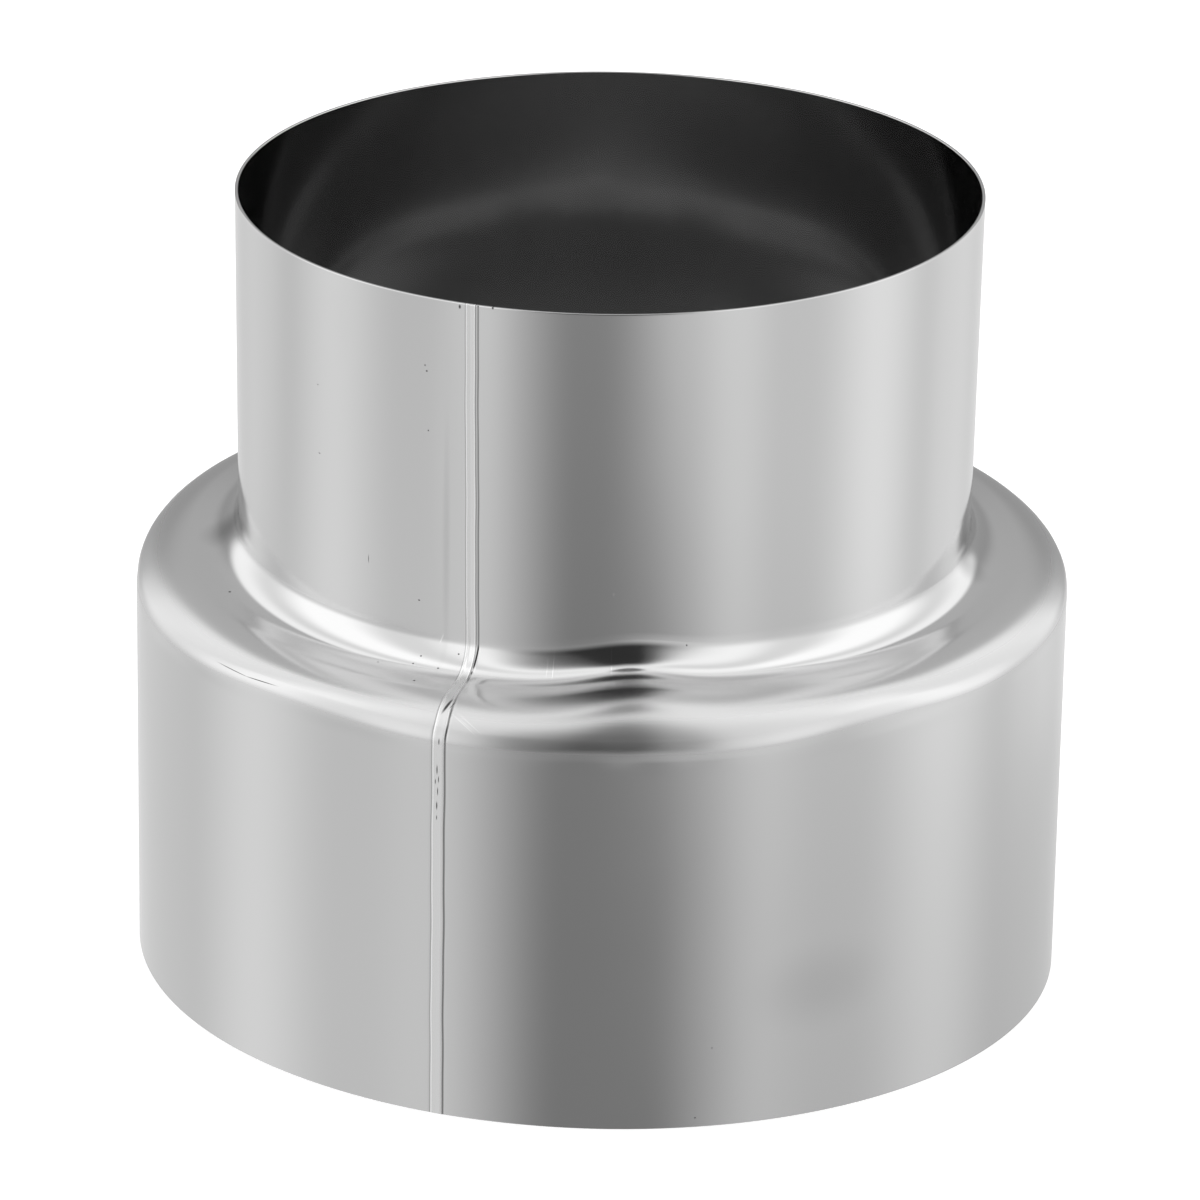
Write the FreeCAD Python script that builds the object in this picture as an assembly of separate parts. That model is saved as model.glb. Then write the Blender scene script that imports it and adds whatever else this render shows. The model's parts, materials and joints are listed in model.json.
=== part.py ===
import FreeCAD, Part
import math
import os

# Duct reducer: one rolled sheet, welded along one line and spun down to a narrower collar.
# The wide end stands on z = 0, the duct's axis is +Z, and the front of the object faces -Y.
# Lengths are in millimetres and angles in degrees.

# Sheet and its two ends
SHEET = 0.5                 # thickness of the stainless sheet
WIDE_DIAMETER = 150.0       # outside of the wide end
NARROW_DIAMETER = 119.0     # outside of the collar, which slips into a 120 mm pipe
OVERALL_HEIGHT = 130.0      # rim to rim
WIDE_STRAIGHT = 63.3        # height of the straight wall below the corner

# Spun shoulder between the two ends: its bends are shares of the step from one end to the other
CORNER_SHARE = 0.22         # tight bend at the top of the straight wall
CROWN_SHARE = 0.645         # wider bend that carries on from the corner onto the shoulder
FOOT_SHARE = 0.33           # concave bend from the ring up to the collar
CROWN_START = 40.0          # lean of the face where the corner hands over to the crown
SHOULDER_FALL = 4.6         # angle by which the flat ring falls towards the crown

STEP = (WIDE_DIAMETER - NARROW_DIAMETER) / 2
CORNER_RADIUS = CORNER_SHARE * STEP
CROWN_RADIUS = CROWN_SHARE * STEP
FOOT_RADIUS = FOOT_SHARE * STEP

# Weld along the outer face, from rim to rim
WELD_AZIMUTH = -19.5        # turn about the axis from the front, to the left when seen from there
WELD_WIDTH = 1.8            # across the bead
WELD_PROUD = 0.12           # crown above the sheet
WELD_ROOT = 0.5             # share of the sheet's thickness that the bead is let into


def at(r, z):
    """A point of the section: r from the axis and z above the foot, in the plane y = 0."""
    return FreeCAD.Vector(r, 0, z)


def on_circle(centre, radius, degrees):
    """The point of a circle of the section at an angle that is counted from +r towards +z."""
    turn = math.radians(degrees)
    return centre + at(radius * math.cos(turn), radius * math.sin(turn))


def bend_centres():
    """Centres of the corner, of the crown inside it and of the collar's foot.

    The crown touches the corner where the face leans by CROWN_START. The flat ring is tangent to
    the crown and to the foot: it lies one crown radius above the one centre and one foot radius
    below the other, measured across the ring, and that gives the foot's centre its height.
    """
    fall = math.radians(SHOULDER_FALL)
    corner = at(WIDE_DIAMETER / 2 - CORNER_RADIUS, WIDE_STRAIGHT)
    crown = on_circle(corner, CORNER_RADIUS - CROWN_RADIUS, CROWN_START)
    foot_r = NARROW_DIAMETER / 2 + FOOT_RADIUS
    across = CROWN_RADIUS + FOOT_RADIUS - (foot_r - crown.x) * math.sin(fall)
    foot = at(foot_r, crown.z + across / math.cos(fall))
    return corner, crown, foot


def bend(centre, radius, start, end):
    """An arc of the section about a centre, from one angle to another."""
    middle = on_circle(centre, radius, (start + end) / 2)
    return Part.Arc(on_circle(centre, radius, start), middle, on_circle(centre, radius, end)).toShape()


def section_path(depth):
    """Edges of the sheet's section at a depth below its outer face, from foot to top rim."""
    corner, crown, foot = bend_centres()
    lean = 90 - SHOULDER_FALL
    corner_arc = bend(corner, CORNER_RADIUS - depth, 0, CROWN_START)
    crown_arc = bend(crown, CROWN_RADIUS - depth, CROWN_START, lean)
    foot_arc = bend(foot, FOOT_RADIUS + depth, 180 + lean, 180)
    wall = Part.LineSegment(at(WIDE_DIAMETER / 2 - depth, 0), corner_arc.Vertexes[0].Point).toShape()
    ring = Part.LineSegment(crown_arc.Vertexes[-1].Point, foot_arc.Vertexes[0].Point).toShape()
    collar_foot = foot_arc.Vertexes[-1].Point
    collar = Part.LineSegment(collar_foot, at(collar_foot.x, OVERALL_HEIGHT)).toShape()
    return [wall, corner_arc, crown_arc, ring, foot_arc, collar]


def spun_sheet():
    """The sheet's closed section, turned once round the duct's axis."""
    outer = section_path(0)
    inner = section_path(SHEET)
    top_rim = Part.LineSegment(outer[-1].Vertexes[-1].Point, inner[-1].Vertexes[-1].Point).toShape()
    foot_rim = Part.LineSegment(inner[0].Vertexes[0].Point, outer[0].Vertexes[0].Point).toShape()
    section = Part.Wire(Part.__sortEdges__(outer + [top_rim] + inner + [foot_rim]))
    return Part.Face(section).revolve(at(0, 0), FreeCAD.Vector(0, 0, 1), 360)


def bead_profile(seat, lean):
    """The bead's crown, square to the weld, at a point of the outer face.

    It is one circle that has the bead's width at the face and its crown above it, cut off by a
    chord inside the sheet. lean is the angle of the outward normal, counted from +r towards +z.
    """
    root = WELD_ROOT * SHEET
    crown_radius = ((WELD_WIDTH / 2) ** 2 + WELD_PROUD ** 2) / (2 * WELD_PROUD)
    depth = WELD_PROUD + root
    half_root = math.sqrt(depth * (2 * crown_radius - depth))
    left_root = FreeCAD.Vector(-root, -half_root, 0)
    right_root = FreeCAD.Vector(-root, half_root, 0)
    crown = Part.Arc(left_root, FreeCAD.Vector(WELD_PROUD, 0, 0), right_root).toShape()
    chord = Part.LineSegment(right_root, left_root).toShape()
    profile = Part.Face(Part.Wire([crown, chord]))
    profile.rotate(at(0, 0), FreeCAD.Vector(0, -1, 0), lean)
    profile.translate(seat)
    return profile


def weld_bead():
    """The bead along the section: straight on wall, ring and collar, turned in the three bends."""
    corner, crown, foot = bend_centres()
    wall, corner_arc, crown_arc, ring, foot_arc, collar = section_path(0)
    across = FreeCAD.Vector(0, 1, 0)
    lean = 90 - SHOULDER_FALL
    runs = []
    for edge, edge_lean in ((wall, 0), (ring, lean), (collar, 0)):
        start, end = edge.Vertexes[0].Point, edge.Vertexes[-1].Point
        runs.append(bead_profile(start, edge_lean).extrude(end - start))
    for edge, edge_lean, centre, axis, turn in (
        (corner_arc, 0, corner, -across, CROWN_START),
        (crown_arc, CROWN_START, crown, -across, lean - CROWN_START),
        (foot_arc, lean, foot, across, lean),
    ):
        runs.append(bead_profile(edge.Vertexes[0].Point, edge_lean).revolve(centre, axis, turn))
    bead = runs[0].fuse(runs[1:]).removeSplitter()
    bead.rotate(at(0, 0), FreeCAD.Vector(0, 0, 1), WELD_AZIMUTH - 90)
    return bead


def reducer_body():
    """The whole reducer, sheet and weld in one solid."""
    return spun_sheet().fuse(weld_bead()).removeSplitter()


os.makedirs("parts", exist_ok=True)
body = reducer_body()
body.exportStep("parts/reducer_body.step")
box = body.BoundBox
print("reducer_body: solids", len(body.Solids), "valid", body.isValid(), "volume", round(body.Volume, 1))
print("box", [round(v, 3) for v in (box.XMin, box.YMin, box.ZMin, box.XMax, box.YMax, box.ZMax)])
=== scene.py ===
# %% [markdown]
# The object is a duct reducer: one thin stainless sheet, rolled, welded along one line and spun
# down on a lathe from a wide end to a narrower collar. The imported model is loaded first, because it
# fixes every size. Blender only gives the sheet its true small faults and its finish.

# %% Load the frame
import json
import math

import bpy
import numpy as np
from mathutils import Matrix, Vector


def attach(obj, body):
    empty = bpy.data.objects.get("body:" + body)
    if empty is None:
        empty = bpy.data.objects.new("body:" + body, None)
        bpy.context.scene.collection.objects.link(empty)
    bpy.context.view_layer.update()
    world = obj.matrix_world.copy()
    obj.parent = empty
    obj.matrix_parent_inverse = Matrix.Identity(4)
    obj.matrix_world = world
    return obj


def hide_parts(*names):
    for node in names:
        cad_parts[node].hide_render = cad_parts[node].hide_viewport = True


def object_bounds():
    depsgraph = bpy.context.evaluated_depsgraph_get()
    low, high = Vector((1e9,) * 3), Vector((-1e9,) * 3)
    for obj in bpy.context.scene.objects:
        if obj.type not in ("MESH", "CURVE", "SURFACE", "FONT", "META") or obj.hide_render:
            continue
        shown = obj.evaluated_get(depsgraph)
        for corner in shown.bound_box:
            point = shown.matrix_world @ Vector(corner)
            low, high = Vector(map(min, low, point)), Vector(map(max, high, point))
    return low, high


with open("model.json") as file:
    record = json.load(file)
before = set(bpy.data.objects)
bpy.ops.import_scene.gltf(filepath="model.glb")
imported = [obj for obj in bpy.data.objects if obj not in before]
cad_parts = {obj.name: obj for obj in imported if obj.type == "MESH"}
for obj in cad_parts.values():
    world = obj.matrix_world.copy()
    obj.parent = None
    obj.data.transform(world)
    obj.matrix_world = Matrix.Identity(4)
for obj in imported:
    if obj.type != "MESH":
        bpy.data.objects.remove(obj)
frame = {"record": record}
cad_low, cad_high = [list(corner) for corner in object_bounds()]
print("CAD box", [round(v, 4) for v in cad_low], [round(v, 4) for v in cad_high])

# %% [markdown]
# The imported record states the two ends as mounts, with their true radii in millimetres, so the
# diameters and the sheet's thickness come from there. The bends of the shoulder are the ones that
# the solid was drawn with: shares of the step from the one radius to the other.

# %% Sizes, in metres
MM = 0.001
mounts = {mount["name"]: mount for mount in frame["record"]["mounts"]}
collar_r = mounts["narrow_spigot"]["dims"]["r_mm"] * MM
sheet = collar_r - mounts["narrow_bore"]["dims"]["r_mm"] * MM
wall_r = mounts["wide_socket"]["dims"]["r_mm"] * MM + sheet
rim_z = cad_high[2]
wall_z = 63.3 * MM
step_in = wall_r - collar_r
corner_bend = 0.22 * step_in
crown_bend = 0.645 * step_in
foot_bend = 0.33 * step_in
crown_start = math.radians(40.0)
shoulder_fall = math.radians(4.6)
weld_azimuth = math.radians(-19.5)
print("wall radius", round(wall_r, 5), "collar radius", round(collar_r, 5), "sheet", round(sheet, 5))

# %% [markdown]
# The sheet's section is worked out as arrays: the place of each row of the mesh, and the way that
# the outer face looks there. Lean is the angle of the outward normal above the level. A tight bend
# takes the wall over, a wider crown carries on to the flat ring, and a concave bend climbs to the
# collar. A path that knows its own normals can be offset by the sheet's thickness without any
# modifier, and the two faces stay parallel, also in the bends.

# %% The section as arrays
lean_top = math.pi / 2 - shoulder_fall
crown_shift = corner_bend - crown_bend
corner_centre = (wall_r - corner_bend, wall_z)
crown_centre = (corner_centre[0] + crown_shift * math.cos(crown_start),
                corner_centre[1] + crown_shift * math.sin(crown_start))
foot_centre_r = collar_r + foot_bend
lift = crown_bend + foot_bend - (foot_centre_r - crown_centre[0]) * math.sin(shoulder_fall)
foot_centre = (foot_centre_r, crown_centre[1] + lift / math.cos(shoulder_fall))
rim_steps = np.array([0.0, 0.15, 0.6]) * MM
rim_margin = 1.5 * MM


def arc(centre, radius, leans):
    """Points of a bend: out from the centre along each normal, or inwards for a negative radius."""
    return centre[0] + radius * np.cos(leans), centre[1] + radius * np.sin(leans), leans


def run(first, last, lean, rows):
    """Points between two places, without the places themselves, all with one lean."""
    share = np.linspace(0.0, 1.0, rows + 2)[1:-1]
    r = first[0] + share * (last[0] - first[0])
    z = first[1] + share * (last[1] - first[1])
    return r, z, np.full(rows, lean)


def upright_run(radius, heights):
    """Points of a straight wall at the given heights, all at one radius, with level normals."""
    return np.full(len(heights), radius), heights, np.zeros(len(heights))


def section(depth, rows):
    """Radius, height and lean along the section, at a depth below the outer face.

    Rows are the numbers for wall, corner, crown, ring, foot and collar. Both rims get extra rows
    close to the edge, so that the smooth shading of the wide faces isn't pulled round by the edge.
    """
    wall_rows, corner_rows, crown_rows, ring_rows, foot_rows, collar_rows = rows
    corner = arc(corner_centre, corner_bend - depth, np.linspace(0.0, crown_start, corner_rows))
    crown = arc(crown_centre, crown_bend - depth, np.linspace(crown_start, lean_top, crown_rows)[1:])
    foot = arc(foot_centre, -foot_bend - depth, np.linspace(lean_top, 0.0, foot_rows))
    ring = run((crown[0][-1], crown[1][-1]), (foot[0][0], foot[1][0]), lean_top, ring_rows)
    wall_heights = np.concatenate([rim_steps, np.linspace(rim_margin, wall_z, wall_rows)[:-1]])
    collar_run = np.linspace(foot[1][-1], rim_z - rim_margin, collar_rows)[1:]
    collar_heights = np.concatenate([collar_run, rim_z - rim_steps[::-1]])
    wall = upright_run(wall_r - depth, wall_heights)
    collar = upright_run(collar_r - depth, collar_heights)
    parts = (wall, corner, crown, ring, foot, collar)
    return [np.concatenate([part[k] for part in parts]) for k in range(3)]


outer = section(0.0, (44, 14, 26, 5, 30, 44))
inner = section(sheet, (16, 8, 14, 3, 14, 16))
print("rows outside", len(outer[0]), "rows inside", len(inner[0]))

# %% [markdown]
# Round the axis the columns stand close together at the weld, where the bead is only 1.8 mm wide,
# and further apart elsewhere, where nothing is smaller than a ripple. The step grows little by little
# between the two, because a sudden change of step can show as a line in a mirror.

# %% The columns
weld_window = math.radians(2.4)
weld_columns = 60
far_columns = 158
far_step = math.radians(1.2)
growth = 1.25
near = np.linspace(-weld_window, weld_window, weld_columns)
near_step = near[1] - near[0]
grown = np.cumsum(np.minimum(near_step * growth ** np.arange(1, far_columns + 1), far_step))
far = weld_window + grown * (math.pi - weld_window) / grown[-1]
from_weld = np.concatenate([-far[-2::-1], near, far])
azimuth = from_weld + weld_azimuth
degrees = np.degrees((azimuth + math.pi) % (2 * math.pi) - math.pi)
print("columns", len(azimuth))

# %% [markdown]
# A real spun part isn't perfect. The shoulder waves by up to 2.5 mm on its way round, and the corner
# has soft dents where the roller pressed. Each fault is a sum of bells: smooth functions of the
# azimuth and of the way along the section, which is measured from the foot rim. So the reflections
# bend as they do on the real sheet.

# %% Faults of the shoulder
# Bells are height in mm, centre and width in degrees from the front
back_bells = ((2.5, -118, 38), (1.8, 125, 40))
corner_bells = ((1.5, -40, 17), (0.3, 2, 13), (1.3, 37, 11))
foot_bells = ((1.95, 5, 10), (0.5, 25, 12), (-0.3, -42, 22), (-0.4, 55, 26))
dent_bells = ((0.05, -1, 3), (0.05, 7, 3), (-0.05, 3, 2), (-0.07, 37, 4), (0.05, 30, 4), (0.05, 45, 5))
swelling_bells = ((0.16, -36, 9),)
# Ripples are height in mm, number round the axis and phase in radians
ripples = ((0.012, 23, 2.1), (0.010, 41, 4.0))
corner_way = 65.0 * MM
dent_width = 2.2 * MM
swelling_way = 67.0 * MM
swelling_width = 2.6 * MM
carry_start = 65.5 * MM
carry_length = 8.5 * MM


def bump_at(values, centre, width):
    """A bell of height one: it falls off with the square of the distance over the width."""
    return np.exp(-((values - centre) / width) ** 2)


def waved(turn, bells):
    """The sum of bells for a turn about the axis, in degrees, without a step at the back."""
    total = np.zeros_like(turn)
    for height, centre, width in bells:
        away = (turn - centre + 180.0) % 360.0 - 180.0
        total = total + height * bump_at(away, 0.0, width)
    return total


def shoulder_rise(turn, way):
    """How far the shoulder stands above its true height.

    The back is higher. Towards the front the corner waves up and down where the roller pressed, and
    the collar's foot has a swelling of its own. The ring between them carries one over to the other.
    """
    corner = waved(turn, corner_bells)
    foot = waved(turn, foot_bells)
    inward = np.clip((way - carry_start) / carry_length, 0.0, 1.0)
    return (waved(turn, back_bells) + corner + inward * (foot - corner)) * MM


def dents(turn, way):
    """Soft hollows and swellings of the corner, outwards positive."""
    swelling = waved(turn, swelling_bells) * bump_at(way, swelling_way, swelling_width)
    uneven = waved(turn, dent_bells)
    for height, count, phase in ripples:
        uneven = uneven + height * np.sin(np.radians(turn) * count + phase)
    return (swelling + uneven * bump_at(way, corner_way, dent_width)) * MM


corner_rise = shoulder_rise(degrees, corner_way) / MM
print("the corner rises by", round(corner_rise.min(), 2), "to", round(corner_rise.max(), 2), "mm")

# %% [markdown]
# The whole part doesn't stand quite true either: it leans, its ends are a little out of round, and its
# rims aren't quite parallel. Small as they are, these faults shift the outline by whole pixels.

# %% Faults of the stand
left_lean = 0.0128
rim_tilt = 0.0176
wall_bulge = 0.65 * MM
bulge_turn = 90
bulge_width = 50
foot_draw = 0.20 * MM
collar_draw = 0.50 * MM
collar_flare = 0.72 * MM
collar_shift = 0.56 * MM
collar_blend = 10.0 * MM


def swayed(x, y, z, turn):
    """The part as it really stands.

    The wall bulges to the right and draws in at its foot. The collar is drawn in at its foot,
    widens towards its rim and sits a little to the right. The part leans to the left by a share of
    the height, and above the foot rim it stands higher at the right by a share of the way across.
    The bell of the wall's bulge isn't carried round the back, so it leaves a step of 0.03 mm there.
    """
    up_wall = np.clip(z / wall_z, 0.0, 1.0)
    up_collar = np.clip((z - wall_z) / (rim_z - wall_z), 0.0, 1.0)
    on_collar = np.clip((z - wall_z) / collar_blend, 0.0, 1.0)
    wall_wider = wall_bulge * bump_at(turn, bulge_turn, bulge_width) - foot_draw * (1.0 - up_wall)
    collar_wider = collar_flare * up_collar - collar_draw
    wider = wall_wider * (1.0 - on_collar) + collar_wider * on_collar
    grow = 1.0 + wider / np.hypot(x, y)
    moved_x = x * grow - left_lean * z + collar_shift * on_collar
    return moved_x, y * grow, z + rim_tilt * x * up_wall


print("the top rim stands", round(left_lean * rim_z / MM, 2), "mm to the left of the foot rim")

# %% [markdown]
# The weld stands up as a fine bead with a groove at each toe. It wanders a little all the way, swings
# aside over the shoulder and is drawn narrower up the collar.

# %% The weld's bead
weld_crown = 0.055 * MM
toe_depth = 0.022 * MM
weld_broad = 0.92 * MM
weld_drawn = 0.20 * MM
drawn_from = 66.0 * MM
drawn_length = 14.0 * MM
# Places on the way, in mm, and how far the weld swings there, in degrees
weld_ways = (0.0, 66.0, 78.0, 92.0, 140.0)
weld_swings = (0.80, 0.70, 0.05, 0.0, -0.44)
# Height in degrees, length in mm and phase in radians of each wander
weld_wanders = ((0.03, 4.1, 0.0), (0.02, 1.7, 1.0))
crown_power = 10
crown_sink = 0.12
sink_width = 0.6
toe_place = 1.25
toe_width = 0.16


def weld_turn(way):
    """Where the weld lies, in degrees from its straight line: the swing there and all wanders."""
    aside_there = np.interp(way / MM, weld_ways, weld_swings)
    for height, length, phase in weld_wanders:
        aside_there = aside_there + height * np.sin(way / (length * MM) + phase)
    return aside_there


def weld_half(way):
    """Half the weld's width: broad on the wall, and drawn narrower up the collar."""
    return weld_broad - weld_drawn * np.clip((way - drawn_from) / drawn_length, 0.0, 1.0)


def bead(across, way):
    """The weld: a flat crown, a little sunk in its middle, between two fine toe grooves.

    Places and widths across the bead are shares of its half width. A high power of the place makes
    the crown flat on top and lets it fall steeply at both edges.
    """
    place = across / weld_half(way)
    crown = weld_crown / (1.0 + np.abs(place) ** crown_power)
    sunk = crown * (1.0 - crown_sink * bump_at(place, 0.0, sink_width))
    return sunk - toe_depth * bump_at(np.abs(place), toe_place, toe_width)


print("bead", round(2 * weld_broad / MM, 2), "mm wide and", round(weld_crown / MM, 3), "mm proud")

# %% [markdown]
# A face of the sheet is its section turned round the axis. Each point then moves: along its normal
# by the dents and the bead, straight up by the shoulder's rise, and last with the stand of the part.

# %% The two faces
rim_fade = 1.0 * MM
collar_fade = 40.0 * MM


def path_length(r, z):
    """Way along the section from its first row, as the sum of the steps between rows."""
    steps = np.hypot(np.diff(r), np.diff(z))
    return np.concatenate([[0.0], np.cumsum(steps)])


def shell_rows(rows, outside):
    """Points of one face of the sheet, row by row, and the way of each along the section.

    The rise is whole at the shoulder and fades out down the wall and up the collar.
    """
    turn, way = np.meshgrid(degrees, path_length(rows[0], rows[1]))
    r, z, lean = [np.repeat(values[:, None], len(azimuth), axis=1) for values in rows]
    offset = dents(turn, way)
    if outside:
        offset = offset + bead((from_weld - np.radians(weld_turn(way))) * r, way)
    off_rims = np.clip(z / rim_fade, 0.0, 1.0) * np.clip((rim_z - z) / rim_fade, 0.0, 1.0)
    up_wall = np.clip((z - wall_z / 2) / (wall_z / 2), 0.0, 1.0)
    down_collar = np.clip((rim_z - z) / collar_fade, 0.0, 1.0)
    rise = shoulder_rise(turn, way) * up_wall * down_collar
    r = r + offset * np.cos(lean)
    z = z + offset * np.sin(lean) * off_rims + rise
    return np.stack(swayed(r * np.sin(azimuth), -r * np.cos(azimuth), z, turn), axis=2), way


outer_points, outer_way = shell_rows(outer, True)
inner_points, inner_way = shell_rows(inner, False)
print("outer face", outer_points.shape, "inner face", inner_points.shape)

# %% [markdown]
# The two faces are joined at both rims into one closed loop of rows: up the outside, over the top
# rim, down the inside and back under the foot. A grid that closes on itself both ways has no stray
# edge, and its faces all look outwards.

# %% The sheet's mesh
rim_round = 0.06 * MM


def rim_rows(first, second):
    """Two rows that take the sharpness off a rim, a little in from each face of the sheet."""
    step = rim_round / sheet
    return first + step * (second - first), second + step * (first - second)


def raised(row, amount):
    """A row moved up along the axis, or down for a negative amount."""
    return row + np.array([0.0, 0.0, amount])


inner_down = inner_points[::-1]
top_a, top_b = rim_rows(outer_points[-1], inner_down[0])
foot_a, foot_b = rim_rows(inner_down[-1], outer_points[0])
outer_points[-1] = raised(outer_points[-1], -rim_round)
inner_down[0] = raised(inner_down[0], -rim_round)
inner_down[-1] = raised(inner_down[-1], rim_round)
outer_points[0] = raised(outer_points[0], rim_round)
loop = np.concatenate([outer_points, [top_a, top_b], inner_down, [foot_a, foot_b]])
row_count, column_count = loop.shape[:2]


def closed_grid(rows, columns):
    """Four-cornered faces of a grid that meets itself in both directions, looking outwards."""
    row, column = np.meshgrid(np.arange(rows), np.arange(columns), indexing="ij")
    next_row = (row + 1) % rows
    next_column = (column + 1) % columns
    corners = [row * columns + column, row * columns + next_column,
               next_row * columns + next_column, next_row * columns + column]
    return np.stack([corner.ravel() for corner in corners], axis=1)


faces = closed_grid(row_count, column_count)
mesh = bpy.data.meshes.new("reducer_sheet")
mesh.from_pydata(loop.reshape(-1, 3), [], faces)
mesh.polygons.foreach_set("use_smooth", np.ones(len(faces), dtype=bool))
mesh.update()
mesh.validate()
reducer = bpy.data.objects.new("reducer_sheet", mesh)
bpy.context.scene.collection.objects.link(reducer)
print("faces", len(mesh.polygons), "points", len(mesh.vertices))

# %% [markdown]
# The finish needs to know where it is on the sheet. Four values go with each point: how far along
# the section it lies, whether it belongs to the inner face, where the weld is at that height, and how
# wide it is there. The azimuth comes from the coordinates themselves, so it has no seam in it.

# %% Places on the sheet
top_rim_rows = 2
inner_first = len(outer[0]) + top_rim_rows
inner_mark = np.zeros(row_count)
inner_mark[inner_first:inner_first + len(inner[0])] = 1.0
top_way = outer_way[-1:]
foot_way = outer_way[:1]
way_loop = np.concatenate([outer_way, top_way, top_way, inner_way[::-1], foot_way, foot_way])
inside_loop = np.repeat(inner_mark[:, None], column_count, axis=1)
weld_loop = math.degrees(weld_azimuth) + weld_turn(way_loop)
values_by_name = {"along_section": way_loop, "inside": inside_loop,
                  "weld_turn": weld_loop, "weld_half": weld_half(way_loop)}
for name, values in values_by_name.items():
    layer = mesh.attributes.new(name, "FLOAT", "POINT")
    layer.data.foreach_set("value", values.ravel().astype(np.float32))
print("section length", round(float(outer_way[-1, 0]), 4))

# %% [markdown]
# A finish is a tree of nodes. Most nodes here do plain arithmetic on values that vary over the
# surface, so a few small helpers are enough: one for sums and products, one that maps a range to
# another and holds it at both ends, and one that blends two values.

# %% Helpers for node trees
def new_material(name):
    """A material with its node tree and its shader."""
    material = bpy.data.materials.new(name)
    material.use_nodes = True
    return material, material.node_tree, material.node_tree.nodes["Principled BSDF"]


def math_node(tree, operation, first, second=None):
    """A Math node on sockets or numbers, which returns its result socket."""
    node = tree.nodes.new("ShaderNodeMath")
    node.operation = operation
    for socket, value in zip(node.inputs, (first, second)):
        if value is None:
            continue
        if isinstance(value, (int, float)):
            socket.default_value = value
        else:
            tree.links.new(value, socket)
    return node.outputs[0]


def ramp(tree, value, low, high, to_low, to_high, kind="SMOOTHSTEP"):
    """Map Range: value from low to high becomes to_low to to_high, held at both ends."""
    node = tree.nodes.new("ShaderNodeMapRange")
    node.interpolation_type = kind
    node.clamp = True
    tree.links.new(value, node.inputs["Value"])
    numbers = {"From Min": low, "From Max": high, "To Min": to_low, "To Max": to_high}
    for socket, number in numbers.items():
        node.inputs[socket].default_value = number
    return node.outputs["Result"]


def mix_node(tree, kind, share, first, second):
    """First where the share is zero and second where it is one, as numbers or as greys."""
    node = tree.nodes.new("ShaderNodeMix")
    node.data_type = kind
    tree.links.new(share, node.inputs["Factor"])
    for socket, value in ((node.inputs["A"], first), (node.inputs["B"], second)):
        if not isinstance(value, float):
            tree.links.new(value, socket)
        elif kind == "RGBA":
            socket.default_value = (value, value, value, 1.0)
        else:
            socket.default_value = value
    return node.outputs["Result"]


steel, tree, shader = new_material("stainless_satin")
shader.inputs["Metallic"].default_value = 1.0
print("material", steel.name)

# %% [markdown]
# Two values tell each point where it is: the turn about the axis, in degrees from the front, and
# the way along the section, in millimetres. The turn is taken about the leaning axis of the part,
# so the lean is added back to the coordinate first.

# %% Turn and way on the sheet
TO_MM = 1.0 / MM
place = tree.nodes.new("ShaderNodeTexCoord")
axes = tree.nodes.new("ShaderNodeSeparateXYZ")
tree.links.new(place.outputs["Object"], axes.inputs[0])
front = math_node(tree, "MULTIPLY", axes.outputs["Y"], -1.0)
leaned = math_node(tree, "MULTIPLY", axes.outputs["Z"], left_lean)
upright_x = math_node(tree, "ADD", axes.outputs["X"], leaned)
turn_degrees = math_node(tree, "DEGREES", math_node(tree, "ARCTAN2", upright_x, front))


def stored(name, factor=1.0):
    """A value that goes with the points of the mesh, times a factor."""
    node = tree.nodes.new("ShaderNodeAttribute")
    node.attribute_name = name
    return math_node(tree, "MULTIPLY", node.outputs["Fac"], factor)


way_mm = stored("along_section", TO_MM)
outside = math_node(tree, "LESS_THAN", stored("inside"), 0.5)
print("nodes for the places", len(tree.nodes))

# %% [markdown]
# The marks of use are pits as fine as a pinprick, dull patches beside the weld, and hair scratches.
# Painted shade is drawn the same way: a dark line along a fine crease of the corner, and dark patches
# at both sides of the collar's foot. Each mark is an ellipse or a stroke at a place on the sheet. An
# image could hold them too, but an ellipse that is worked out from its place stays sharp at any
# distance.

# %% Ellipses and strokes
mid_ring_way = 72.0
very_soft = 0.9


def mm_per_degree(way_at):
    """Width of one degree on the sheet, on the wall's side or on the collar's side of the ring."""
    return math.radians((wall_r if way_at < mid_ring_way else collar_r) / MM)


def weighed(first, first_weight, second, second_weight):
    """The sum of two values, each times its weight."""
    return math_node(tree, "ADD", math_node(tree, "MULTIPLY", first, first_weight),
                     math_node(tree, "MULTIPLY", second, second_weight))


def sum_of_squares(first, second):
    """The sum of the squares of two values."""
    return math_node(tree, "ADD", math_node(tree, "POWER", first, 2.0),
                     math_node(tree, "POWER", second, 2.0))


def mark(turn_at, way_at, half_across, half_along, tilt=0.0, soft=0.5):
    """One inside an ellipse on the sheet, with a soft edge. Sizes in millimetres, tilt in degrees."""
    turned = math_node(tree, "SUBTRACT", turn_degrees, turn_at)
    across = math_node(tree, "MULTIPLY", turned, mm_per_degree(way_at))
    along = math_node(tree, "SUBTRACT", way_mm, way_at)
    cosine = math.cos(math.radians(tilt))
    sine = math.sin(math.radians(tilt))
    first = weighed(across, cosine / half_across, along, -sine / half_across)
    second = weighed(across, sine / half_along, along, cosine / half_along)
    distance = math_node(tree, "SQRT", sum_of_squares(first, second))
    return ramp(tree, distance, 1.0 - soft, 1.0 + soft, 1.0, 0.0)


def stroke(turn_a, way_a, turn_b, way_b, half_width):
    """A fine stroke from one place on the sheet to another, thinning out towards both ends."""
    across = (turn_b - turn_a) * mm_per_degree(way_a)
    along = way_b - way_a
    tilt = math.degrees(math.atan2(across, along))
    half_length = math.hypot(across, along) / 2
    return mark((turn_a + turn_b) / 2, (way_a + way_b) / 2, half_width, half_length, tilt)


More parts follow.
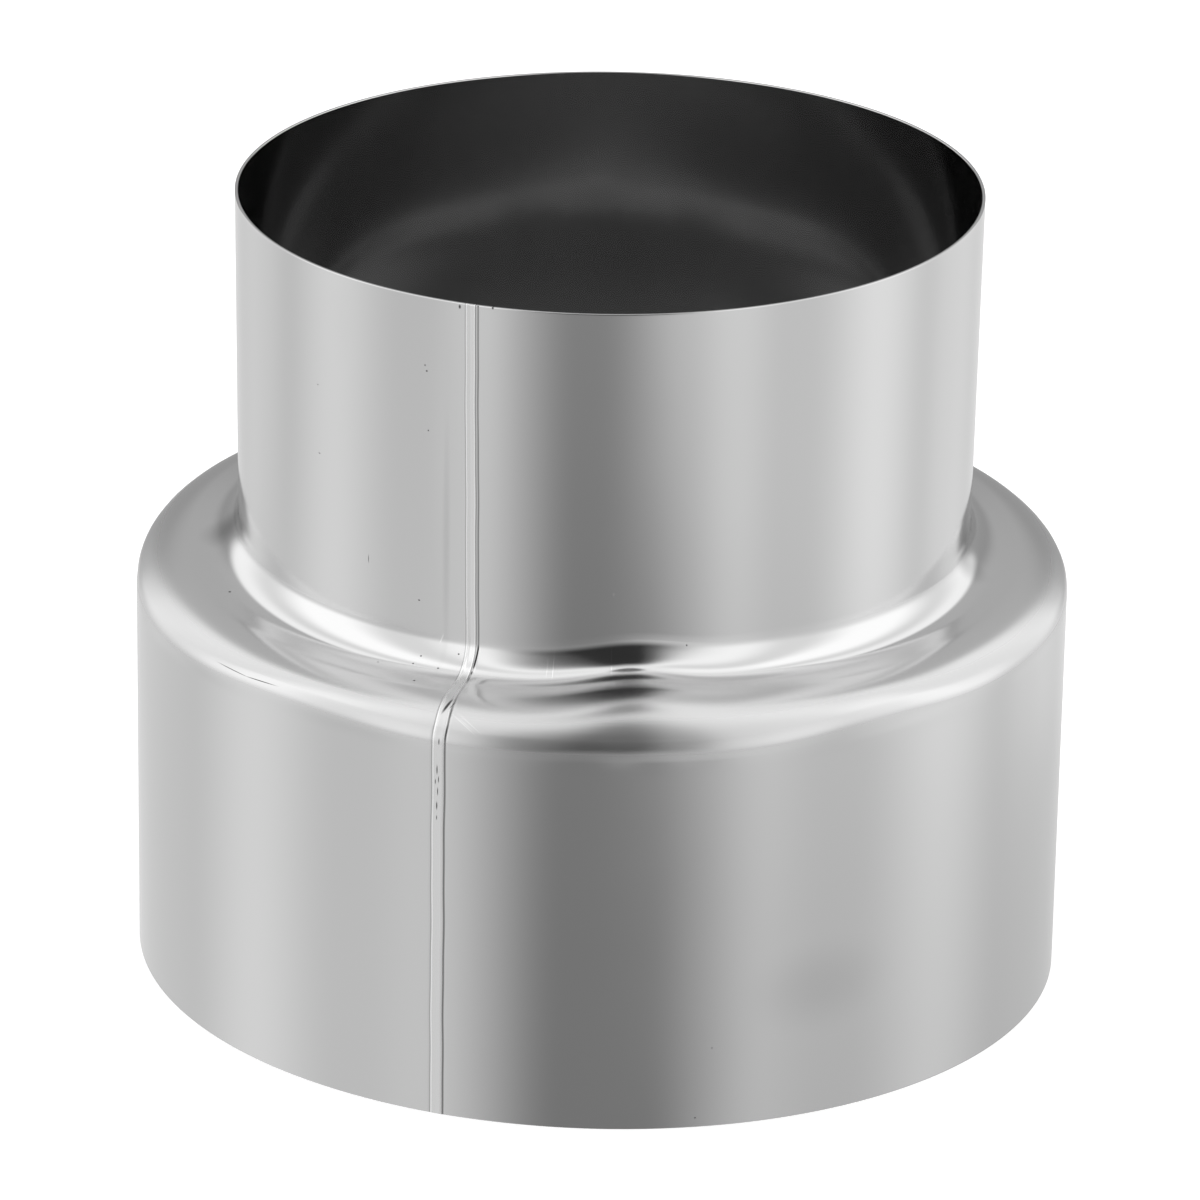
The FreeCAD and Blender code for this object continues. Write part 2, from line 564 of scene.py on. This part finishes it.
def gathered(marks):
    """The strongest of several marks at each place."""
    amount = marks[0]
    for other in marks[1:]:
        amount = math_node(tree, "MAXIMUM", amount, other)
    return amount


print("one degree of the wall is", round(mm_per_degree(0.0), 2), "mm wide")

# %% [markdown]
# Each list below gathers the marks of one kind, which were set one by one. The first two numbers of
# an ellipse are its place, as turn and way, and the next two its half sizes. A stroke has the places
# of its two ends and its half width. Broad, faint marks have a very soft edge.

# %% Marks of use and painted shade
pits_and_crease_shade = gathered([
    mark(-48.5, 120.5, 0.10, 0.10), mark(-27.3, 128.9, 0.12, 0.12), mark(-27.0, 128.0, 0.16, 0.13),
    mark(-26.7, 118.3, 0.12, 0.12), mark(-48.2, 109.2, 0.22, 0.07), mark(-37.6, 94.6, 0.06, 0.60),
    mark(-28.2, 89.8, 0.18, 0.11), mark(-67.4, 76.7, 0.22, 0.20), mark(-25.6, 75.1, 0.15, 0.20, 25),
    mark(-27.1, 80.8, 0.14, 0.12), mark(-27.8, 79.3, 0.14, 0.12), mark(-23.7, 79.3, 0.16, 0.12),
    mark(-21.2, 82.1, 0.14, 0.12), mark(-33.1, 78.0, 0.12, 0.10), mark(13.6, 83.8, 0.10, 0.14),
    mark(-21.6, 139.4, 0.18, 0.30), mark(-16.4, 139.9, 0.15, 0.20), mark(14.8, 13.4, 0.10, 0.10),
    mark(12.9, 1.6, 0.14, 0.12),
    # Painted shade: the two strokes below are a dark line along a fine crease at the corner's lower
    # edge.
    stroke(-52.8, 64.8, -47.2, 64.5, 0.05), stroke(-47.2, 64.5, -42.4, 64.7, 0.06),
])
weld_pits = gathered([
    mark(-18.7, 63.4, 0.08, 0.45), mark(-18.9, 58.7, 0.09, 0.70), mark(-18.7, 57.1, 0.07, 0.50),
    mark(-19.1, 56.7, 0.07, 0.40), mark(-18.8, 55.1, 0.07, 0.60), mark(-18.9, 52.7, 0.10, 0.60),
    mark(-18.9, 50.7, 0.07, 0.35),
])
notch = gathered([stroke(-18.6, 71.2, -19.1, 68.3, 0.24), stroke(-18.1, 70.8, -18.4, 69.2, 0.06)])
# Soft darker patches in the colour: low on the wall, on the ring beside the weld and up the collar.
soft_dark_patches = gathered([
    mark(28.6, 21.7, 8.0, 5.0, soft=very_soft), mark(-26.8, 75.8, 2.6, 0.8, soft=very_soft),
    mark(-23.6, 100.0, 0.5, 14.0, soft=very_soft),
])
# Painted shade: soft dark patches at both sides of the collar's foot, where its reflections darken.
painted_foot_shade = gathered([
    mark(-88.0, 81.5, 4.0, 3.6, soft=very_soft), mark(77.0, 84.5, 3.0, 4.2, soft=very_soft),
])
dulled = gathered([
    mark(-24.5, 106.0, 1.3, 21.0, soft=very_soft), mark(-43.0, 133.0, 2.0, 5.0, soft=very_soft),
])
fine_lines = gathered([
    stroke(-17.6, 68.0, -14.6, 65.4, 0.05), stroke(-17.0, 68.4, -13.8, 65.6, 0.04),
    stroke(-16.7, 67.5, -14.9, 66.0, 0.04), stroke(-18.4, 71.0, -18.8, 68.8, 0.06),
])
streaks = gathered([
    stroke(-6.4, 79.0, -6.4, 83.6, 0.05), stroke(-7.3, 79.6, -7.3, 82.8, 0.03),
    stroke(2.2, 78.8, 2.2, 83.4, 0.05), stroke(2.4, 91.8, 2.4, 92.4, 0.08),
    stroke(-24.5, 83.4, -24.0, 84.8, 0.09),
])
dark_marks = gathered([pits_and_crease_shade, weld_pits, notch])
print("nodes with the marks", len(tree.nodes))

# %% [markdown]
# The weld reads as a slightly paler, duller band between two edges that are paler and duller still,
# with a dark line in each toe: the line on the right is the wider one. Its place across the band comes
# from the values stored with the mesh, so the finish follows the bead wherever it wanders. On the ring
# the weld's colours are nearly lost.

# %% The weld's own finish
radius = math_node(tree, "SQRT", sum_of_squares(upright_x, axes.outputs["Y"]))
radius_mm = math_node(tree, "MULTIPLY", radius, TO_MM)
from_weld_turn = math_node(tree, "SUBTRACT", turn_degrees, stored("weld_turn"))
weld_across = math_node(tree, "MULTIPLY", math_node(tree, "RADIANS", from_weld_turn), radius_mm)
weld_share = math_node(tree, "DIVIDE", weld_across, stored("weld_half", TO_MM))


def weld_line(at_share, half_width):
    """One along a fine line of the weld, at a share of its half width from the middle."""
    away = math_node(tree, "ABSOLUTE", math_node(tree, "SUBTRACT", weld_share, at_share))
    return ramp(tree, away, half_width * 0.4, half_width * 1.6, 1.0, 0.0)


def stretch(start, full, full_end, end):
    """One on a stretch of the way along the section, and smooth to zero at both of its ends."""
    return math_node(tree, "MULTIPLY", ramp(tree, way_mm, start, full, 0.0, 1.0),
                     ramp(tree, way_mm, full_end, end, 1.0, 0.0))


weld_band = math_node(tree, "MULTIPLY", weld_line(0.0, 0.90), 0.30)
weld_pale = gathered([weld_band, weld_line(-0.92, 0.10), weld_line(0.92, 0.10)])
weld_toes = gathered([math_node(tree, "MULTIPLY", weld_line(-1.18, 0.09), 0.45),
                      math_node(tree, "MULTIPLY", weld_line(1.22, 0.14), 0.60)])
lost_on_ring = math_node(tree, "MULTIPLY", stretch(68.0, 71.0, 76.5, 78.5), 0.7)
weld_shown = math_node(tree, "MULTIPLY", outside, math_node(tree, "SUBTRACT", 1.0, lost_on_ring))
print("nodes with the weld", len(tree.nodes))

# %% [markdown]
# Rolled stainless is a neutral grey metal with a satin mirror: soft, but sharp enough to show the
# shoulder in the collar. Its colour is plain, darker in pits and toes and paler on the weld, with soft
# darker patches and painted shade along a fine crease and at both sides of the collar's foot. Nearly
# all of its look is in the roughness, which drifts a little. There is more of it where the roller has
# worked the bend and the ring, on the weld, in marks and in the dull patches. The inner face, which
# no roller touched, is a little smoother.

# %% Colour and roughness
steel_grey = 0.62
pale_grey = 0.92
mark_grey = 0.10
satin_low = 0.10
satin_high = 0.14
inside_satin = 0.80
drift_scale = 18.0
drift_detail = 3.0


def share_of(amount, factor):
    """An amount on the outer face, times a factor."""
    return math_node(tree, "MULTIPLY", math_node(tree, "MULTIPLY", amount, outside), factor)


pale_weld = math_node(tree, "MULTIPLY", weld_pale, weld_shown)
dark_toes = math_node(tree, "MULTIPLY", weld_toes, weld_shown)
pale = gathered([pale_weld, share_of(fine_lines, 0.6), share_of(streaks, 0.5)])
# The dark share holds the toes, the marks with the painted crease shade, the soft patches and the
# painted shade at the foot's sides.
dark = gathered([dark_toes, share_of(dark_marks, 1.0), share_of(soft_dark_patches, 0.12),
                 share_of(painted_foot_shade, 0.60)])
grey = mix_node(tree, "RGBA", pale, steel_grey, pale_grey)
grey = mix_node(tree, "RGBA", dark, grey, mark_grey)
tree.links.new(grey, shader.inputs["Base Color"])

drift = tree.nodes.new("ShaderNodeTexNoise")
drift.inputs["Scale"].default_value = drift_scale
drift.inputs["Detail"].default_value = drift_detail
tree.links.new(place.outputs["Object"], drift.inputs["Vector"])
satin = ramp(tree, drift.outputs["Fac"], 0.3, 0.7, satin_low, satin_high, "LINEAR")
worked_corner = stretch(61.5, 64.0, 66.5, 71.0)
worked_ring = stretch(67.0, 71.0, 77.0, 79.0)
smoother = math_node(tree, "ADD", math_node(tree, "MULTIPLY", outside, 1.0 - inside_satin), inside_satin)
rough = math_node(tree, "MULTIPLY", satin, smoother)
rougher_places = ((dulled, 0.10), (worked_corner, 0.19), (worked_ring, 0.10),
                  (dark_marks, 0.25), (weld_pale, 0.22))
for amount, more in rougher_places:
    rough = math_node(tree, "ADD", rough, share_of(amount, more))
tree.links.new(rough, shader.inputs["Roughness"])
mesh.materials.append(steel)
print("material", steel.name, "nodes", len(tree.nodes))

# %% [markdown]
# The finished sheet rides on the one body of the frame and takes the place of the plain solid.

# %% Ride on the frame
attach(reducer, "root")
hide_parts("reducer_body")
print("dressed", reducer.name)

# %% [markdown]
# A polished metal shows what stands round it, so the studio is part of its look. The world is a
# soft studio worked out from the direction alone, as elevation and bearing from the front.

# %% Directions of the studio
world = bpy.data.worlds.new("soft_studio")
bpy.context.scene.world = world
world.use_nodes = True
sky = world.node_tree
sky.nodes.clear()
direction = sky.nodes.new("ShaderNodeTexCoord").outputs["Generated"]
split = sky.nodes.new("ShaderNodeSeparateXYZ")
sky.links.new(direction, split.inputs[0])
elevation = math_node(sky, "DEGREES", math_node(sky, "ARCSINE", split.outputs["Z"]))
towards_front = math_node(sky, "MULTIPLY", split.outputs["Y"], -1.0)
bearing = math_node(sky, "DEGREES", math_node(sky, "ARCTAN2", split.outputs["X"], towards_front))
aside = math_node(sky, "ABSOLUTE", bearing)


def beyond(angle, first, last):
    """Zero before the first angle, one after the last, and smooth between them."""
    return ramp(sky, angle, first, last, 0.0, 1.0)


def pair(centre, half, soft, strength):
    """A pair of upright cards, left and right, as light that is added between soft edges."""
    away = math_node(sky, "ABSOLUTE", math_node(sky, "SUBTRACT", aside, centre))
    return ramp(sky, away, half - soft, half + soft, strength, 0.0)


def blend(share, first, second):
    """First where the share is zero and second where it is one."""
    return mix_node(sky, "FLOAT", share, first, second)


def added(first, *others):
    """The sum of several lights."""
    total = first
    for other in others:
        total = math_node(sky, "ADD", total, other)
    return total


print("studio directions", len(sky.nodes), "nodes")

# %% [markdown]
# Tall pale cards stand in pairs at both sides. A dark gap, with a half-dark edge to each side, is
# left at the front for the camera, and widens upwards. A bright ring of light hangs overhead with a
# dark middle, and reaches a little lower at the sides than over the gap. A greyer wall closes the back.

# %% Light above the horizon
room_light = 1.08
gap_light = 0.04
gap_edge_light = 0.13
ceiling_front = 1.15
ceiling_side = 1.30
ceiling_middle = 0.20
back_low = 0.40
back_high = 0.62
back_top = 0.30
cards = added(pair(92, 17, 10, 0.50), pair(42, 9, 8, 0.37), pair(140, 12, 8, 0.30), room_light)
gap_side = math_node(sky, "MULTIPLY", aside, ramp(sky, elevation, 10.0, 60.0, 1.0, 0.74))
gap_edge = blend(beyond(gap_side, 16, 35), gap_edge_light, cards)
cards = blend(beyond(gap_side, 12, 17), gap_light, gap_edge)
ceiling = blend(beyond(aside, 12, 40), ceiling_front, ceiling_side)
ceiling = blend(beyond(elevation, 80, 84), ceiling, ceiling_middle)
ceiling_angle = math_node(sky, "SUBTRACT", elevation, ramp(sky, aside, 12.0, 40.0, 3.0, 0.0))
above_horizon = blend(beyond(ceiling_angle, 60, 76), cards, ceiling)
back_wall = blend(beyond(elevation, 12, 30), back_low, back_high)
back_wall = blend(beyond(elevation, 55, 75), back_wall, back_top)
behind = math_node(sky, "MULTIPLY", beyond(aside, 142, 149), beyond(elevation, -16, -10))
print("studio above the horizon", len(sky.nodes), "nodes")

# %% [markdown]
# Below the horizon the table shows the same cards again, paler and softer, with a dark gap between
# them. The wall shows the near part of the table, where the gap lies a little to the right and the
# right side is shaded. The collar shows the part further off, where the gap lies to the left and the
# right side is brighter. The camera itself sees plain white.

# %% Light below the horizon
table_light = 0.80
wall_gap_light = 0.27
collar_gap_light = 0.36
wall_gap_right = 3.0
collar_gap_left = 5.5
brighter_right = 0.07
wall_table = added(pair(94, 14, 14, 0.22), pair(44, 8, 8, 0.05), table_light)
from_wall_gap = math_node(sky, "ABSOLUTE", math_node(sky, "SUBTRACT", bearing, wall_gap_right))
wall_table = blend(beyond(from_wall_gap, 10, 42.5), wall_gap_light, wall_table)
shade_depth = ramp(sky, elevation, -25.0, -22.4, 0.17, 0.09)
right_shade = math_node(sky, "MULTIPLY", beyond(bearing, 18, 50), shade_depth)
wall_table = math_node(sky, "MULTIPLY", wall_table, math_node(sky, "SUBTRACT", 1.0, right_shade))
collar_table = added(pair(92, 14, 14, 0.28), pair(40, 9, 8, 0.14), pair(134, 14, 10, 0.12), table_light)
from_collar_gap = math_node(sky, "ABSOLUTE", math_node(sky, "ADD", bearing, collar_gap_left))
collar_table = blend(beyond(from_collar_gap, 3, 31), collar_gap_light, collar_table)
to_right = math_node(sky, "MULTIPLY", split.outputs["X"], brighter_right)
collar_table = math_node(sky, "MULTIPLY", collar_table, math_node(sky, "ADD", to_right, 1.0))
table = blend(beyond(elevation, -22.6, -21.8), wall_table, collar_table)
light = blend(beyond(elevation, -20, 3), table, above_horizon)
light = blend(behind, light, back_wall)

path = sky.nodes.new("ShaderNodeLightPath")
background = sky.nodes.new("ShaderNodeBackground")
background.inputs["Color"].default_value = (1.0, 1.0, 1.0, 1.0)
seen = blend(path.outputs["Is Camera Ray"], light, 1.0)
sky.links.new(seen, background.inputs["Strength"])
out = sky.nodes.new("ShaderNodeOutputWorld")
sky.links.new(background.outputs[0], out.inputs["Surface"])
print("studio nodes", len(sky.nodes))

# %% [markdown]
# The floor is a pale sheet of paper. It keeps the object's soft shadow, and the camera sees it a
# little brighter than it is, so that it comes out white. The metal doesn't see it: the studio above
# already holds what the walls show below the horizon.

# %% The floor
reach = 3.0
paper_grey = 0.8
paper_glow = 0.5
floor_mesh = bpy.data.meshes.new("floor")
floor_corners = [(-reach, -reach, 0), (reach, -reach, 0), (reach, reach, 0), (-reach, reach, 0)]
floor_mesh.from_pydata(floor_corners, [], [(0, 1, 2, 3)])
floor = bpy.data.objects.new("floor", floor_mesh)
bpy.context.scene.collection.objects.link(floor)
floor.visible_glossy = False


def make_dull(dull_shader, level):
    """A shader of one grey without any gloss, that can glow white."""
    dull_shader.inputs["Base Color"].default_value = (level, level, level, 1.0)
    dull_shader.inputs["Roughness"].default_value = 1.0
    dull_shader.inputs["Specular IOR Level"].default_value = 0.0
    dull_shader.inputs["Emission Color"].default_value = (1.0, 1.0, 1.0, 1.0)


paper, paper_tree, paper_shader = new_material("pale_paper")
make_dull(paper_shader, paper_grey)
paper_path = paper_tree.nodes.new("ShaderNodeLightPath")
glow = math_node(paper_tree, "MULTIPLY", paper_path.outputs["Is Camera Ray"], paper_glow)
paper_tree.links.new(glow, paper_shader.inputs["Emission Strength"])
floor_mesh.materials.append(paper)
print("floor", 2 * reach, "m across")

# %% [markdown]
# Under the duct the floor lies in its shade, and the inside of the sheet shows it many times over.
# A dark disc that only reflections see stands for that shade. It is paler round a place a little
# towards the front, because light falls straight through the duct there, and that gives the inside
# its soft pale arc.

# %% Shade under the duct
disc_corners = 96
disc_r = wall_r - 1.5 * sheet
disc_z = 0.3 * MM
shade_grey = 0.02
pale_forward = 22.0 * MM
pale_r = 28.0 * MM
dark_r = 55.0 * MM
pale_glow = 0.235
dark_glow = 0.088
disc_turn = np.linspace(0, 2 * math.pi, disc_corners + 1)[:-1]
disc_x = disc_r * np.cos(disc_turn)
disc_y = disc_r * np.sin(disc_turn)
disc_points = np.stack([disc_x, disc_y, np.full(disc_corners, disc_z)], axis=1)
disc_mesh = bpy.data.meshes.new("shade_disc")
disc_mesh.from_pydata(disc_points, [], [tuple(range(disc_corners))])
shade = bpy.data.objects.new("shade_disc", disc_mesh)
bpy.context.scene.collection.objects.link(shade)
shade.visible_camera = False
shade.visible_diffuse = False
shade.visible_shadow = False

black, black_tree, black_shader = new_material("shade")
make_dull(black_shader, shade_grey)
disc_place = black_tree.nodes.new("ShaderNodeTexCoord")
disc_shift = black_tree.nodes.new("ShaderNodeVectorMath")
disc_shift.operation = "ADD"
disc_shift.inputs[1].default_value = (0.0, pale_forward, 0.0)
black_tree.links.new(disc_place.outputs["Object"], disc_shift.inputs[0])
disc_length = black_tree.nodes.new("ShaderNodeVectorMath")
disc_length.operation = "LENGTH"
black_tree.links.new(disc_shift.outputs["Vector"], disc_length.inputs[0])
disc_light = ramp(black_tree, disc_length.outputs["Value"], pale_r, dark_r, pale_glow, dark_glow)
black_tree.links.new(disc_light, black_shader.inputs["Emission Strength"])
disc_mesh.materials.append(black)
print("disc radius", round(disc_r, 4))

# %% [markdown]
# The camera stands well back with a long lens, as product cameras do, which keeps the two rims
# nearly parallel. Its place and angles come from fitting both rims and the outline.

# %% The camera
camera_back = 1.2692
camera_up = 0.5641
camera_left = 0.0007
pitch = 0.37847
roll = 0.03099
sensor = 36.0
focal_pixels = 8415.7
frame_pixels = 1200
camera_data = bpy.data.cameras.new("camera")
camera_data.sensor_width = sensor
camera_data.sensor_fit = "HORIZONTAL"
camera_data.lens = sensor * (focal_pixels / frame_pixels)
camera_data.clip_end = 20.0
camera = bpy.data.objects.new("camera", camera_data)
bpy.context.scene.collection.objects.link(camera)
forward = Vector((0.0, math.cos(pitch), -math.sin(pitch)))
level = Vector((1.0, 0.0, 0.0))
upright = level.cross(forward)
right = math.cos(roll) * level + math.sin(roll) * upright
up = -math.sin(roll) * level + math.cos(roll) * upright
turn_matrix = Matrix((right, up, -forward)).transposed().to_4x4()
camera.matrix_world = Matrix.Translation((-camera_left, -camera_back, camera_up)) @ turn_matrix
bpy.context.scene.camera = camera
bpy.context.scene.view_settings.view_transform = "Standard"
print("lens", round(camera_data.lens, 1), "mm")
